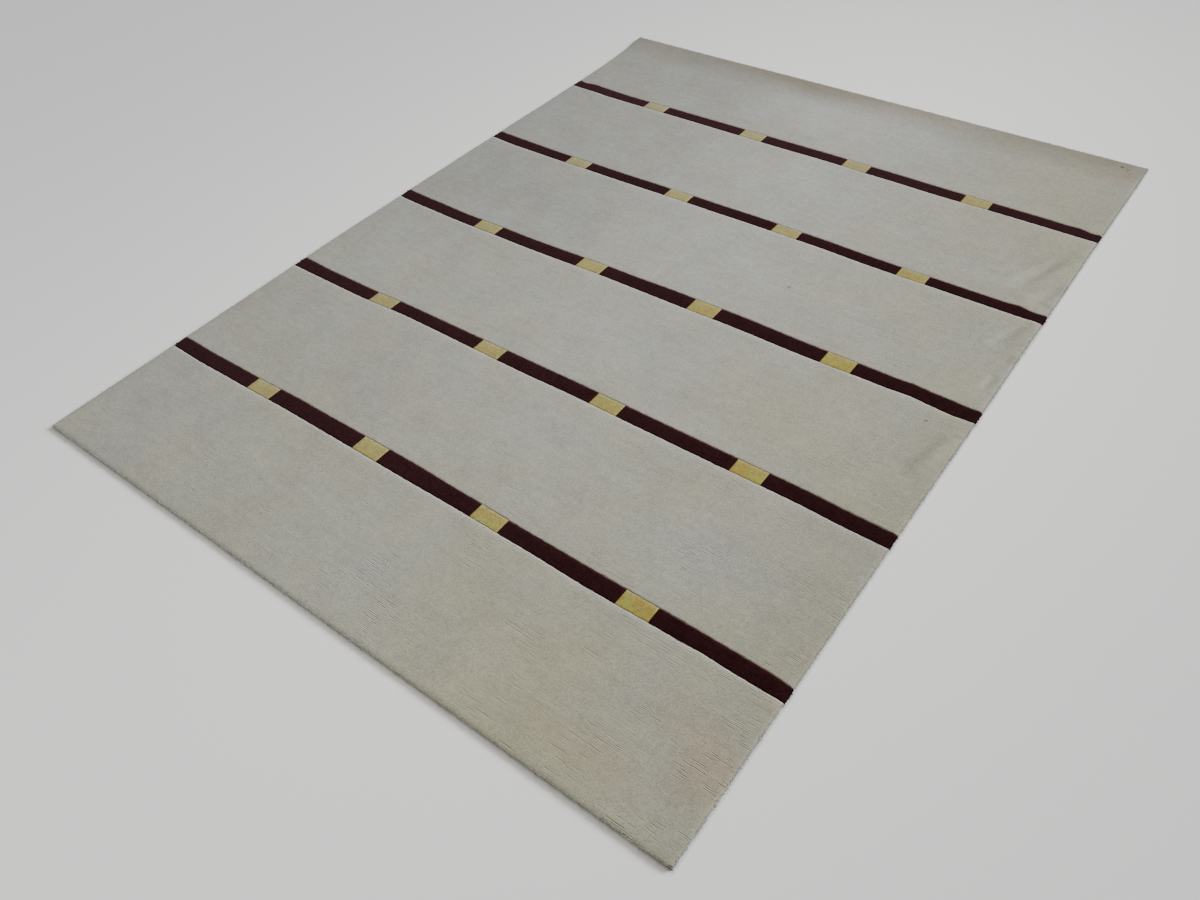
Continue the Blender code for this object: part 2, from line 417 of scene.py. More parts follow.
def knotted_block(u_span, v_span, kinds, first_row):
    """A closed block of pile: a fine top with stepped sides, a wall round it and a plain foot.

    kinds are those of its left, right, front and back sides."""
    left, right, front, back = kinds
    rows = max(2, round((v_span[1] - v_span[0]) / WEFT_ROW))
    half_row = (v_span[1] - v_span[0]) / rows / 2
    u, drop_u, relief_u = np.array(grid_lines(*u_span, left, right, COLUMN)).T
    v, drop_v, relief_v = np.array(grid_lines(*v_span, front, back, half_row)).T
    drop = np.maximum.outer(drop_v, drop_u)
    relief = np.minimum.outer(relief_v, relief_u)
    wide, deep = len(u), len(v)
    # Fibres of the wool in front mingle in at the front side, fewer from a gold block, and
    # clean wool with a painted highlight shows at the back side.
    beside_block = np.any([(b < u) & (u < b + BLOCK_WIDTH) for b in BLOCKS], axis=0)
    mingled = np.exp((v_span[0] - v) / MINGLED_REACH) * (front is CLIPPED)
    mingled = np.outer(mingled, 1 - 0.8 * beside_block).ravel()
    clean = np.exp((v - v_span[1]) / CLEAN_HIGHLIGHT_REACH) * (back is CLIPPED)

    grid_u, grid_v = np.meshgrid(u, v)
    foot_u, foot_v = np.meshgrid(drawn_in(u, *u_span, left, right), drawn_in(v, *v_span, front, back))
    index, faces, ring = grid_faces(wide, deep)
    faces = faces.tolist()
    foot_of = {int(top): wide * deep + place for place, top in enumerate(ring)}
    all_u = np.concatenate([grid_u.ravel(), foot_u.ravel()[ring]])
    all_v = np.concatenate([grid_v.ravel(), foot_v.ravel()[ring]])
    x, y = lay(all_u, all_v)
    z = lift(x, y)
    ripple = swell_of(RIPPLES, x, y)[: wide * deep]
    z[: wide * deep] += THICKNESS - drop.ravel() + ripple * relief.ravel()
    z[wide * deep :] += FOUNDATION - FOOT_SINK
    # Painted light on the side of a ripple that faces the window, and painted shade on the other.
    ahead, behind = (
        swell_of(RIPPLES, x + way * TO_WINDOW[0], y + way * TO_WINDOW[1])
        for way in (2 * MM, -2 * MM)
    )
    nap = (behind - ahead) / (4 * MM)

    faces += [[foot_of[int(p)], foot_of[int(q)], int(q), int(p)] for p, q in zip(ring, np.roll(ring, -1))]
    # The foot is a row of long strips with one many-sided face at each end.
    near, far, left_side, right_side = (
        [foot_of[int(i)] for i in side]
        for side in (index[0], index[-1], index[1:-1, 0], index[1:-1, -1])
    )
    faces += [[near[i + 1], near[i], far[i], far[i + 1]] for i in range(1, wide - 2)]
    faces.append([near[1], near[0], *left_side, far[0], far[1]])
    faces.append([near[-1], near[-2], far[-2], far[-1], *right_side[::-1]])

    row = first_row + (all_v - v_span[0]) / (2 * half_row)
    weave = np.stack([all_u, all_v, row], axis=1)
    relief = np.concatenate([relief.ravel(), np.zeros(len(ring))])
    clean = np.repeat(clean, wide)
    mingled = np.concatenate([mingled, mingled[ring]])
    clean = np.concatenate([clean, clean[ring]])
    return Sheet(np.stack([x, y, z], axis=1), faces, weave, relief, mingled, clean, nap)


def joined(sheets):
    """Several sheets as one."""
    faces, start = [], 0
    for sheet in sheets:
        faces += [[start + i for i in face] for face in sheet.faces]
        start += len(sheet.points)
    arrays = {
        name: np.concatenate([getattr(sheet, name) for sheet in sheets])
        for name in Sheet._fields if name != "faces"
    }
    return Sheet(faces=faces, **arrays)


def in_scene(name, data):
    """An object of this mesh, lamp or camera, linked to the scene."""
    obj = bpy.data.objects.new(name, data)
    bpy.context.scene.collection.objects.link(obj)
    return obj


def mesh_object(name, points, faces, weave=None, smooth=True):
    """A mesh object in the scene, with the weave's places as its UV map in metres."""
    mesh = bpy.data.meshes.new(name)
    mesh.from_pydata(np.asarray(points).tolist(), [], faces)
    mesh.polygons.foreach_set("use_smooth", np.full(len(mesh.polygons), smooth))
    if weave is not None:
        corner = np.zeros(len(mesh.loops), np.int32)
        mesh.loops.foreach_get("vertex_index", corner)
        layer = mesh.uv_layers.new(name="weave")
        layer.uv.foreach_set("vector", np.asarray(weave)[corner, :2].ravel())
    mesh.update()
    return in_scene(name, mesh)


def point_values(obj, name, kind, values):
    """Stores one value for each vertex of a piece."""
    attribute = obj.data.attributes.new(name, kind, "POINT")
    attribute.data.foreach_set("vector" if kind == "FLOAT_VECTOR" else "value", values.ravel())


# Node trees for what repeats

def new_tree(name, sizes):
    """A geometry node tree with an input for each named size, a seed and a material; returns
    it with its group's inputs and output."""
    tree = bpy.data.node_groups.new(name, "GeometryNodeTree")
    tree.interface.new_socket("Geometry", in_out="OUTPUT", socket_type="NodeSocketGeometry")
    kinds = {"Geometry": "Geometry", **dict.fromkeys(sizes, "Float")}
    for label, kind in {**kinds, "Seed": "Int", "Material": "Material"}.items():
        tree.interface.new_socket(label, in_out="INPUT", socket_type="NodeSocket" + kind)
    start = tree.nodes.new("NodeGroupInput")
    end = tree.nodes.new("NodeGroupOutput")
    return tree, start.outputs, end


def finish_tree(tree, geometry, material, end):
    """Ends a tree in real geometry with its material set."""
    real = add(tree, "GeometryNodeRealizeInstances", {"Geometry": geometry})
    dressed = add(tree, "GeometryNodeSetMaterial", {"Geometry": real, "Material": material})
    tree.links.new(dressed.outputs[0], end.inputs[0])
    return tree


def planted(tree, given, shape, least, most, end):
    """Plants one copy of a shape on each point, its Z along the point's lean, and varies the
    copies' size; ends the tree."""
    lean = add(tree, STORED, {"Name": "lean"}, data_type="FLOAT_VECTOR")
    turn = add(tree, "FunctionNodeAlignRotationToVector", {"Vector": lean}, axis="Z")
    size = add(tree, "FunctionNodeRandomValue", {"Min": least, "Max": most, "Seed": given["Seed"]})
    placed = add(tree, "GeometryNodeInstanceOnPoints", {
        "Points": given["Geometry"], "Instance": shape, "Rotation": turn,
        "Scale": size.outputs[1]})
    return finish_tree(tree, placed, given["Material"], end)


def row_gaps(tree, weave, row, length, seed):
    """Where a row of knots has opened from the next: 1 in a gap, 0 elsewhere. The same nodes
    serve the geometry and the finish, so that both put their gaps in the same places."""
    parts = add(tree, SPLIT, {0: weave}).outputs
    along = add(tree, MATH, (parts[0], length), operation="DIVIDE")
    # Each row reads the noise at a place of its own.
    between_rows = add(tree, MATH, {0: row}, operation="FLOOR")
    own = add(tree, MATH, (between_rows, 7.31), operation="MULTIPLY")
    place = add(tree, JOIN, (along, own, seed))
    noise = add(tree, NOISE, {"Vector": place, "Scale": 1.0, "Detail": 0.0})
    gap = add(tree, RANGE, {"Value": noise, "From Min": 0.59, "From Max": 0.63})
    # Gaps come in clusters, nearly all of them towards the front right corner.
    cluster = add(tree, NOISE, {"Vector": weave, "Scale": 8.0}, noise_dimensions="2D")
    across = add(tree, MATH, (parts[0], parts[1]), operation="SUBTRACT")
    front = add(tree, RANGE, {
        "Value": across, "From Min": 0.4, "From Max": 1.7, "To Min": -0.14, "To Max": 0.08})
    cluster = add(tree, MATH, (cluster, front), operation="ADD")
    openness = add(tree, RANGE, {"Value": cluster, "From Min": 0.52, "From Max": 0.62, "To Min": 0.08})
    return add(tree, MATH, (gap, openness), operation="MULTIPLY")


def knot_relief_tree():
    """Weft rows stand up as ribs, and the knots along them are a little uneven."""
    tree, given, end = new_tree("knot relief", RELIEF)
    weave = add(tree, STORED, {"Name": "weave_row"}, data_type="FLOAT_VECTOR")
    relief = add(tree, STORED, {"Name": "relief"})
    parts = add(tree, SPLIT, {0: weave}).outputs
    # Each rib has a height of its own, and stands out less where the pile has closed.
    turn = add(tree, MATH, (parts[2], math.tau), operation="MULTIPLY")
    crest = add(tree, MATH, {0: turn}, operation="COSINE")
    row = add(tree, MATH, {0: parts[2]}, operation="ROUND")
    height = add(tree, "FunctionNodeRandomValue", {
        "Min": 0.25, "Max": 0.75, "ID": row, "Seed": given["Seed"]})
    open_places = add(tree, NOISE, {"Vector": weave, "Scale": 5.5}, noise_dimensions="2D")
    openness = add(tree, RANGE, {"Value": open_places, "From Min": 0.44, "From Max": 0.62, "To Min": 0.2})
    rib = crest
    for factor in (height.outputs[1], given["Rib Height"], openness):
        rib = add(tree, MATH, (rib, factor), operation="MULTIPLY")
    gap = row_gaps(tree, weave, parts[2], given["Gap Length"], given["Seed"])
    valley = add(tree, RANGE, {"Value": crest, "From Min": 1.0, "From Max": -1.0})
    for factor in (valley, given["Gap Depth"]):
        gap = add(tree, MATH, (gap, factor), operation="MULTIPLY")
    total = add(tree, MATH, (rib, gap), operation="SUBTRACT")
    # Knots, one noise cell to each, and slow hollows from feet and from the clipping shears.
    along = add(tree, MATH, (parts[0], given["Knot Width"]), operation="DIVIDE")
    cell = add(tree, JOIN, (along, parts[2], given["Seed"]))
    knot = add(tree, NOISE, {"Vector": cell, "Scale": 0.45, "Roughness": 0.6})
    slow = add(tree, NOISE, {"Vector": weave, "Scale": 9.0}, noise_dimensions="2D")
    for noise, reach in ((knot, given["Knot Height"]), (slow, given["Hollow Depth"])):
        swing = add(tree, MATH, (noise, 0.5), operation="SUBTRACT")
        total = add(tree, MATH, (swing, reach, total), operation="MULTIPLY_ADD")
    # Tips stray sideways.
    stray = add(tree, VECTOR, (knot.outputs[1], (0.5, 0.5, 0.5)), operation="SUBTRACT")
    stray = add(tree, VECTOR, {0: stray, "Scale": given["Stray"]}, operation="SCALE")
    stray = add(tree, SPLIT, {0: stray}).outputs
    move = add(tree, JOIN, (stray[0], stray[1], total))
    move = add(tree, VECTOR, {0: move, "Scale": relief}, operation="SCALE")
    moved = add(tree, "GeometryNodeSetPosition", {"Geometry": given["Geometry"], "Offset": move})
    return finish_tree(tree, moved, given["Material"], end)


def edge_tuft_tree():
    """Cut yarn ends that lean out over the rug's edge, one at each point."""
    tree, given, end = new_tree("edge tufts", TUFT_SIZE)
    tip = add(tree, MATH, (given["Width"], 0.30), operation="MULTIPLY")
    root = add(tree, MATH, (given["Width"], 0.5), operation="MULTIPLY")
    tuft = add(tree, "GeometryNodeMeshCone", {
        "Vertices": 5, "Radius Top": tip, "Radius Bottom": root,
        "Depth": given["Length"]})
    return planted(tree, given, tuft.outputs["Mesh"], 0.75, 1.2, end)


def overcast_tree():
    """Wraps of yarn over the edge cord, one flattened ring at each point."""
    tree, given, end = new_tree("overcast edge", WRAP_SIZE)
    ring = add(tree, "GeometryNodeCurvePrimitiveCircle", {"Resolution": 7})
    shape = add(tree, JOIN, (given["Half Width"], given["Half Height"], 1.0))
    oval = add(tree, "GeometryNodeTransform", {"Geometry": ring, "Scale": shape})
    yarn = add(tree, "GeometryNodeCurvePrimitiveCircle", {"Resolution": 3, "Radius": given["Yarn"]})
    wrap = add(tree, "GeometryNodeCurveToMesh", {"Curve": oval, "Profile Curve": yarn})
    smooth = add(tree, "GeometryNodeSetShadeSmooth", {"Geometry": wrap})
    return planted(tree, given, smooth, 0.92, 1.05, end)


def grown(obj, tree, sizes, material):
    """Runs a node tree on a piece and keeps the result as the piece's own plain mesh."""
    modifier = obj.modifiers.new(tree.name, "NODES")
    modifier.node_group = tree
    sockets = {s.name: s.identifier for s in tree.interface.items_tree if s.in_out == "INPUT"}
    for name, value in {**sizes, "Seed": SEED, "Material": material}.items():
        modifier[sockets[name]] = value
    bpy.context.view_layer.update()
    graph = bpy.context.evaluated_depsgraph_get()
    made = bpy.data.meshes.new_from_object(
        obj.evaluated_get(graph), preserve_all_data_layers=True, depsgraph=graph
    )
    obj.modifiers.remove(modifier)
    old = obj.data
    obj.data = made
    made.name = obj.name
    bpy.data.meshes.remove(old)


# Finishes

def new_material(name, roughness):
    """A material with one Principled shader; returns it with its tree and shader."""
    material = bpy.data.materials.new(name)
    material.use_nodes = True
    tree = material.node_tree
    shader = tree.nodes["Principled BSDF"]
    shader.inputs["Roughness"].default_value = roughness
    return material, tree, shader


# paler_from is where along the rug the stripes' painted sheen begins, and abrash how
# much knots differ.
Wool = namedtuple("Wool", "name colour second faded paler_from neighbour clean sheen gloss abrash")
CREAM = Wool("cream wool, hand-spun, knotted and clipped",
             "#A1A39E", "#A2A298", "#86806E", None, "#A0877F", "#DEDBD4", 0.10, 0.20, 0.19)
BURGUNDY = Wool("burgundy wool, hand-spun, knotted and clipped",
                "#281012", "#240E0F", "#371F23", 0.60, "#2A1210", "#3C1B1F", 0.02, 0.04, 0.55)
GOLD = Wool("gold wool, hand-spun, knotted and clipped",
            "#9D8944", "#9A964B", "#A19C7A", 0.36, "#7C6A3C", "#C4B784", 0.06, 0.15, 0.30)


def wool_pile(wool):
    """Cut wool pile. The eye sees soft matt tips in rows, knots that differ a little in
    shade where the hand-spun yarn took the dye unevenly, and painted shade in the clefts between them."""
    material, tree, shader = new_material(wool.name, 0.92)
    place = add(tree, "ShaderNodeUVMap", uv_map="weave")
    millimetres = add(tree, VECTOR, {0: place, "Scale": 1 / MM}, operation="SCALE")
    # One cell to a knot, 3.3 mm apart.
    knots = add(tree, "ShaderNodeTexVoronoi", {
        "Vector": millimetres, "Scale": MM / KNOT_WIDTH, "Randomness": 0.75},
        voronoi_dimensions="2D")
    shade = add(tree, "ShaderNodeSeparateColor", {0: knots.outputs["Color"]})
    # Bands along the rows, 12 mm deep and 90 mm long.
    stretched = add(tree, "ShaderNodeMapping", {"Vector": millimetres, "Scale": (1 / 90, 1 / 12, 1)})
    # Footprints and the comb leave patches 15 to 20 mm across, wool of one dyeing fades into
    # the next over 60 to 200 mm, and fibres are 0.8 mm wide, drawn coarser than they are.
    rows, patches, skeins, fibres = (
        add(tree, NOISE, {
            "Vector": where, "Scale": scale, "Detail": detail, "Roughness": roughness},
            noise_dimensions="2D")
        for where, scale, detail, roughness in (
            (stretched, 1.0, 2.0, 0.4), (millimetres, 1 / 22, 2.0, 0.6),
            (millimetres, 1 / 110, 3.0, 0.55), (millimetres, 1 / 0.8, 2.0, 0.7),
        )
    )
    light = 1.0
    for value, strength in (
        (shade, wool.abrash), (rows, 0.14), (patches, 0.18), (skeins, 0.21), (fibres, 0.30),
    ):
        swing = add(tree, MATH, (value, 0.5), operation="SUBTRACT")
        light = add(tree, MATH, (swing, strength, light), operation="MULTIPLY_ADD")
    # Painted shade in the clefts between knots.
    cleft = add(tree, RANGE, {
        "Value": knots.outputs["Distance"], "From Min": 0.25, "From Max": 0.8,
        "To Min": 1.0, "To Max": 0.80})
    light = add(tree, MATH, (light, cleft), operation="MULTIPLY")
    light = rows_seen(tree, place, light)
    # Painted light and painted shade on the ripples' slopes towards and away from the window.
    nap = add(tree, "ShaderNodeAttribute", attribute_name="nap").outputs["Fac"]
    light = add(tree, MATH, (nap, PAINTED_SLOPE_LIGHT, light), operation="MULTIPLY_ADD")
    # The second shade of the same dye comes in soft patches, 150 mm across in the wide
    # fields and 25 mm in the narrow stripes.
    dyeing = add(tree, NOISE, {
        "Vector": millimetres, "Scale": 1 / 150 if wool is CREAM else 1 / 25, "Detail": 3.0},
        noise_dimensions="2D")
    second = add(tree, RANGE, {"Value": dyeing, "From Min": 0.38, "From Max": 0.62})
    colour = add(tree, MIX, {0: second, 6: linear(wool.colour), 7: linear(wool.second)},
                 data_type="RGBA").outputs[2]
    if wool is CREAM:
        # Painted warm light, then wide patches of painted light and shade, then spots and stains.
        colour = marked(tree, warm_light_and_tones(tree, colour), PAINTED_LIGHT_AND_SHADE, (1.5, 0.2), 0.2)
        colour = marked(tree, colour, MARKS, (1.6, 0.9), 1.0)
    else:
        colour = faded(tree, colour, wool)
    # Where the shears cut the line, fibres of the next colour mingle on one side, and clean
    # wool with a painted highlight shows on the other, one tip to each knot.
    tip = add(tree, RANGE, {
        "Value": knots.outputs["Distance"], "From Min": 0.6, "From Max": 0.15, "To Min": 0.35})
    for side, amount, other in (
        ("mingled", 0.55, wool.neighbour), ("clean", tip, wool.clean),
    ):
        near = add(tree, "ShaderNodeAttribute", attribute_name=side).outputs["Fac"]
        share = add(tree, MATH, (near, amount), operation="MULTIPLY")
        colour = add(tree, MIX, {0: share, 6: colour, 7: linear(other)}, data_type="RGBA").outputs[2]
    colour = add(tree, VECTOR, {0: colour, "Scale": light}, operation="SCALE")
    # Domed tips, 0.35 mm high, with fibres 0.2 mm high on them.
    dome = add(tree, MATH, (knots.outputs["Distance"], -1.0), operation="MULTIPLY")
    tips = add(tree, BUMP, {"Distance": 0.35 * MM, "Height": dome})
    fuzz = add(tree, BUMP, {"Distance": 0.2 * MM, "Height": fibres, "Normal": tips})
    dress(tree, shader, wool, colour, fuzz)
    return material


def dress(tree, shader, wool, colour, surface):
    """Gives a shader its colour and bumps, and wool's soft sheen and dull gloss."""
    tree.links.new(colour.outputs[0], shader.inputs["Base Color"])
    tree.links.new(surface.outputs[0], shader.inputs["Normal"])
    shader.inputs["Sheen Weight"].default_value = wool.sheen
    shader.inputs["Sheen Roughness"].default_value = 0.45
    shader.inputs["Specular IOR Level"].default_value = wool.gloss


def rows_seen(tree, weave, light):
    """Painted shade in the clefts between rows, 0.7 to 1.6 mm wide, far stronger where a gap has
    opened, and there a painted highlight on the lip on both sides."""
    row = add(tree, "ShaderNodeAttribute", attribute_name="row").outputs["Fac"]
    from_crest = add(tree, MATH, (row, 1.0), operation="FLOORED_MODULO")
    from_cleft = add(tree, MATH, (from_crest, 0.5), operation="SUBTRACT")
    from_cleft = add(tree, MATH, {0: from_cleft}, operation="ABSOLUTE")
    gap = row_gaps(tree, weave, row, GAP_LENGTH, SEED)
    depth = add(tree, RANGE, {"Value": gap, "To Min": 0.03, "To Max": 0.85})
    # Painted shade in the cleft between rows.
    cleft = add(tree, RANGE, {
        "Value": from_cleft, "From Min": 0.10, "From Max": 0.24, "To Min": 1.0, "To Max": 0.0})
    dark = add(tree, MATH, (cleft, depth), operation="MULTIPLY")
    # Painted highlight on the lips beside an open gap.
    lip = add(tree, MATH, (from_cleft, 0.40, 0.12), operation="COMPARE")
    lip = add(tree, MATH, (lip, gap), operation="MULTIPLY")
    change = add(tree, MATH, (lip, 0.60, 1.0), operation="MULTIPLY_ADD")
    change = add(tree, MATH, (change, dark), operation="SUBTRACT")
    return add(tree, MATH, (light, change), operation="MULTIPLY")


def faded(tree, colour, wool):
    """The dyes are paler towards the left, and towards the back the stripes carry a painted sheen
    of grazing light."""
    place = add(tree, COORDS).outputs["Object"]
    parts = add(tree, SPLIT, {0: place}).outputs
    left = add(tree, RANGE, {"Value": parts[0], "From Min": 0.6, "From Max": -0.7, "To Max": 0.56})
    # Painted sheen of grazing light on the back stripes.
    painted_sheen = add(tree, RANGE, {
        "Value": parts[1], "From Min": wool.paler_from - 0.1, "From Max": wool.paler_from + 0.1,
        "To Max": 0.38})
    share = add(tree, MATH, (left, painted_sheen), operation="ADD")
    return add(tree, MIX, {0: share, 6: colour, 7: linear(wool.faded)}, data_type="RGBA").outputs[2]


def warm_light_and_tones(tree, colour):
    """Cream wool with painted warm light towards the right and front, greyer in the back half left
    of a line, and darker and yellower along the back edge.
    """
    place = add(tree, COORDS).outputs["Object"]
    parts = add(tree, SPLIT, {0: place}).outputs
    clouds = add(tree, NOISE, {"Vector": place, "Scale": 2.3, "Detail": 3.0}, noise_dimensions="2D")
    # Painted warm light: towards the right and the front the cream is painted warmer.
    warm_light = add(tree, RANGE, {"Value": parts[0], "From Min": 0.1, "From Max": 0.9, "To Max": 0.85})
    front = add(tree, RANGE, {"Value": parts[1], "From Min": 0.1, "From Max": -1.2, "To Max": 0.75})
    warm_light = add(tree, MATH, (warm_light, front), operation="ADD")
    warm_light = add(tree, MATH, (warm_light, clouds), operation="MULTIPLY")
    # Left of a line near the middle, the back half is greyer.
    left = add(tree, RANGE, {
        "Value": parts[0], "From Min": GREYER_LEFT_OF + 0.045, "From Max": GREYER_LEFT_OF - 0.045},
        interpolation_type="SMOOTHSTEP")
    back_half = add(tree, RANGE, {"Value": parts[1], "From Min": -0.15, "From Max": 0.10, "To Max": 0.13})
    grey = add(tree, MATH, (left, back_half), operation="MULTIPLY")
    # A hand's breadth along the back edge is darker and yellower.
    edge = add(tree, RANGE, {"Value": parts[1], "From Min": 1.01, "From Max": 1.14})
    uneven = add(tree, MATH, (clouds, 2.0), operation="MULTIPLY")
    old = add(tree, MATH, (edge, uneven), operation="MULTIPLY", use_clamp=True)
    for share, tint in ((warm_light, "#A4A182"), (grey, "#7D7D7B"), (old, CREAM.faded)):
        colour = add(tree, MIX, {0: share, 6: colour, 7: linear(tint)}, data_type="RGBA").outputs[2]
    return colour


def marked(tree, colour, marks, rim, unevenness):
    """Lays spots and stains, and wide patches of painted light and shade, over the wool, each
    with a soft uneven rim.
    """
    place = add(tree, COORDS).outputs["Object"]
    ragged = add(tree, NOISE, {"Vector": place, "Scale": 130.0}, noise_dimensions="2D")
    for mark in marks:
        scale = (1 / (mark.reach_x * MM), 1 / (mark.reach_y * MM), 0)
        shifted = add(tree, VECTOR, (place, (mark.x * MM, mark.y * MM, 0)), operation="SUBTRACT")
        shifted = add(tree, VECTOR, (shifted, scale), operation="MULTIPLY")
        away = add(tree, VECTOR, {0: shifted}, operation="LENGTH").outputs["Value"]
        away = add(tree, MATH, (ragged, unevenness, away), operation="MULTIPLY_ADD")
        share = add(tree, RANGE, {
            "Value": away, "From Min": rim[0], "From Max": rim[1], "To Max": mark.share},
            interpolation_type="SMOOTHSTEP")
        colour = add(tree, MIX, {0: share, 6: colour, 7: linear(mark.colour)}, data_type="RGBA").outputs[2]
    return colour


def foundation_weave():
    """Cotton warp and weft with the knots' backs showing through. Seen from below, each
    knot is two small beads side by side in the colour of its pile."""
    material, tree, shader = new_material("cotton foundation, woven, with knot backs", 0.95)
    place = add(tree, "ShaderNodeUVMap", uv_map="weave")
    parts = add(tree, SPLIT, {0: place}).outputs
    inside = []
    for along, lows, highs in (
        (parts[1], FRONTS, BACKS), (parts[0], BLOCKS, BLOCKS + BLOCK_WIDTH),
    ):
        mask = 0.0
        for low, high in zip(lows, highs):
            near = add(tree, MATH, (along, (low + high) / 2, (high - low) / 2), operation="COMPARE")
            mask = add(tree, MATH, (near, mask), operation="MAXIMUM")
        inside.append(mask)
    in_stripe, in_block = inside
    # Beads, one row of knots deep and half a knot wide, with cotton between them.
    beads = add(tree, "ShaderNodeMapping", {"Vector": place, "Scale": (2 / KNOT_WIDTH, 1 / WEFT_ROW, 1)})
    bead = add(tree, "ShaderNodeTexVoronoi", {
        "Vector": beads, "Scale": 1.0, "Randomness": 0.25}, voronoi_dimensions="2D")
    cotton = add(tree, RANGE, {"Value": bead, "From Min": 0.42, "From Max": 0.62, "To Max": 0.7})
    stripe = add(tree, MIX, {
        0: in_block, 6: linear(BURGUNDY.colour), 7: linear(GOLD.colour)}, data_type="RGBA")
    colour = linear(CREAM.colour)
    for share, other in ((in_stripe, stripe.outputs[2]), (cotton, linear("#CFC8B6"))):
        colour = add(tree, MIX, {0: share, 6: colour, 7: other}, data_type="RGBA").outputs[2]
    tree.links.new(colour, shader.inputs["Base Color"])
    # Each bead is domed, 0.8 mm high.
    dome = add(tree, MATH, (bead, -1.0), operation="MULTIPLY")
    bump = add(tree, BUMP, {"Distance": 0.8 * MM, "Height": dome})
    tree.links.new(bump.outputs[0], shader.inputs["Normal"])
    return material


def yarn_finish(name, wool):
    """Loose yarn ends and wraps in one wool: matt, with fibres along them."""
    material, tree, shader = new_material(name, 0.92)
    place = add(tree, COORDS).outputs["Object"]
    # Fibres 1.2 mm apart, drawn coarser than they are.
    fibres = add(tree, NOISE, {"Vector": place, "Scale": 1 / (1.2 * MM), "Roughness": 0.7})
    light = add(tree, RANGE, {
        "Value": fibres, "From Min": 0.3, "From Max": 0.7, "To Min": 0.78, "To Max": 1.08})
    colour = add(tree, VECTOR, {0: linear(wool.colour)[:3], "Scale": light}, operation="SCALE")
    bump = add(tree, BUMP, {"Distance": 0.3 * MM, "Height": fibres})
    dress(tree, shader, wool, colour, bump)
    return material


# The rug's pieces

def pile_piece(name, sheet, tree, finishes, colour):
    """One colour's area of the pile, with its knots raised."""
    piece = mesh_object(name, sheet.points, sheet.faces, sheet.weave)
    point_values(piece, "weave_row", "FLOAT_VECTOR", sheet.weave)
    point_values(piece, "row", "FLOAT", sheet.weave[:, 2])
    for value in ("relief", "mingled", "clean", "nap"):
        point_values(piece, value, "FLOAT", getattr(sheet, value))
    grown(piece, tree, RELIEF, finishes[colour])
    for value in ("weave_row", "relief"):
        piece.data.attributes.remove(piece.data.attributes[value])
    return piece


def field_spans():
    """Front and back of the six cream fields, from the front edge to the back edge."""
    return list(zip([-LENGTH / 2, *BACKS], [*FRONTS, LENGTH / 2]))


def make_pile(finishes):
    """Six cream fields, and in each stripe its burgundy bars and its gold blocks."""
    tree = knot_relief_tree()
    pieces, row = [], 0
    across = (-WIDTH / 2, WIDTH / 2)
    bar_edges = [-WIDTH / 2, *np.sort([*BLOCKS, *(BLOCKS + BLOCK_WIDTH)]), WIDTH / 2]
    spans = field_spans()
    for number, span in enumerate(spans):
        kinds = (
            OUTLINE, OUTLINE, CLIPPED if number else OUTLINE,
            CLIPPED if number < len(STRIPES) else OUTLINE,
        )
        sheet = knotted_block(across, span, kinds, row)
        pieces.append(pile_piece(f"field_{number + 1}", sheet, tree, finishes, "cream"))
        row += round((span[1] - span[0]) / WEFT_ROW)
        if number == len(STRIPES):
            break
        stripe = (FRONTS[number], BACKS[number])
        bars, blocks = [], []
        for place, (low, high) in enumerate(zip(bar_edges, bar_edges[1:])):
            kinds = (
                CLIPPED if place else OUTLINE,
                CLIPPED if place < len(bar_edges) - 2 else OUTLINE, CLIPPED, CLIPPED,
            )
            made = knotted_block((low, high), stripe, kinds, row)
            (blocks if place % 2 else bars).append(made)
        for part, sheets, colour in (("bars", bars, "burgundy"), ("blocks", blocks, "gold")):
            name = f"stripe_{number + 1}_{part}"
            pieces.append(pile_piece(name, joined(sheets), tree, finishes, colour))
        row += round((stripe[1] - stripe[0]) / WEFT_ROW)
    return pieces


def make_foundation(material):
    """The woven ground: a thin closed sheet with a rounded rim, under all of the pile."""
    # A grid line about every 25 mm, from 12 mm inside the edge.
    inner = 12 * MM
    columns = np.linspace(-WIDTH / 2 + inner, WIDTH / 2 - inner, 70)
    lines = np.linspace(-LENGTH / 2 + inner, LENGTH / 2 - inner, 90)

    def layer(step):
        u = np.array([-WIDTH / 2 + step.inset * MM, *columns, WIDTH / 2 - step.inset * MM])
        v = np.array([-LENGTH / 2 + step.inset * MM, *lines, LENGTH / 2 - step.inset * MM])
        grid_u, grid_v = (g.ravel() for g in np.meshgrid(u, v))
        x, y = lay(grid_u, grid_v)
        z = lift(x, y) + step.height * MM
        return np.stack([x, y, z], axis=1), np.stack([grid_u, grid_v], axis=1)

    _, grid, ring = grid_faces(len(columns) + 2, len(lines) + 2)
    points, weave = layer(RIM[0])
    faces = grid[:, ::-1].tolist()
    below = ring
    for step in RIM[1:]:
        start = len(points)
        step_points, step_weave = layer(step)
        above = ring + start
        if step is RIM[-1]:
            faces += (grid + start).tolist()
        else:
            step_points, step_weave = step_points[ring], step_weave[ring]
            above = np.arange(start, start + len(ring))
        points, weave = np.concatenate([points, step_points]), np.concatenate([weave, step_weave])
        faces += np.stack([below, np.roll(below, -1), np.roll(above, -1), above], axis=1).tolist()
        below = above
    piece = mesh_object("foundation", points, faces, weave)
    piece.data.materials.append(material)
    return piece


def points_piece(name, places, leans):
    """Loose points, each with the way that what stands there leans."""
    mesh = bpy.data.meshes.new(name)
    mesh.from_pydata(np.asarray(places).tolist(), [], [])
    obj = in_scene(name, mesh)
    point_values(obj, "lean", "FLOAT_VECTOR", np.asarray(leans))
    return obj


